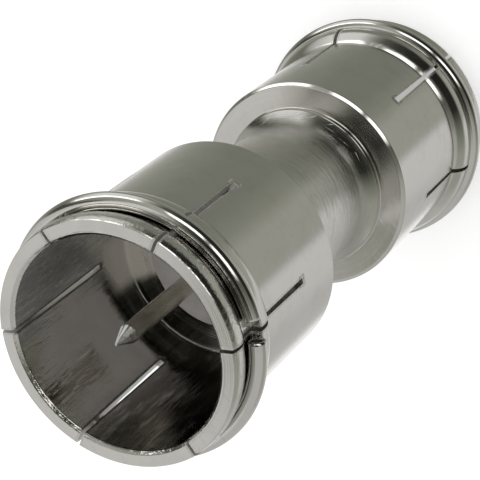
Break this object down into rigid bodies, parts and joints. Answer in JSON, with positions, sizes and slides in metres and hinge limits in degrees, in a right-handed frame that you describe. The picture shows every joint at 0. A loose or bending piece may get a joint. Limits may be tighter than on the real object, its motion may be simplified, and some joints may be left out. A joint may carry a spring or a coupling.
{
  "type": "f connector adapter",
  "caption": "Push-on coaxial F adapter, male to male: slotted spring mouth with a wire ring at each end, a necked body between them and a pointed centre pin.",
  "frame": {"origin": "centre of the lower mouth's rim, on the surface that the adapter stands on", "axes": "+Z along the adapter's axis, from the lower mouth up to the upper mouth; +X towards one slot of the upper mouth, close to its ring's gap"},
  "size_m": [0.0118, 0.0118, 0.0278],
  "materials": {
    "nickel_plate": "bright nickel plate over turned brass, with fine turning marks",
    "pin_plate": "nickel plate over brass, smooth",
    "spring_wire": "bright drawn spring wire, nickel plated",
    "insulator_plastic": "pale grey moulded plastic"
  },
  "bodies": {
    "root": {"adapter_body": "nickel_plate", "center_pin": "pin_plate", "insulator_top": "insulator_plastic", "insulator_bottom": "insulator_plastic", "spring_ring_top": "spring_wire", "spring_ring_bottom": "spring_wire"}
  },
  "joints": []
}
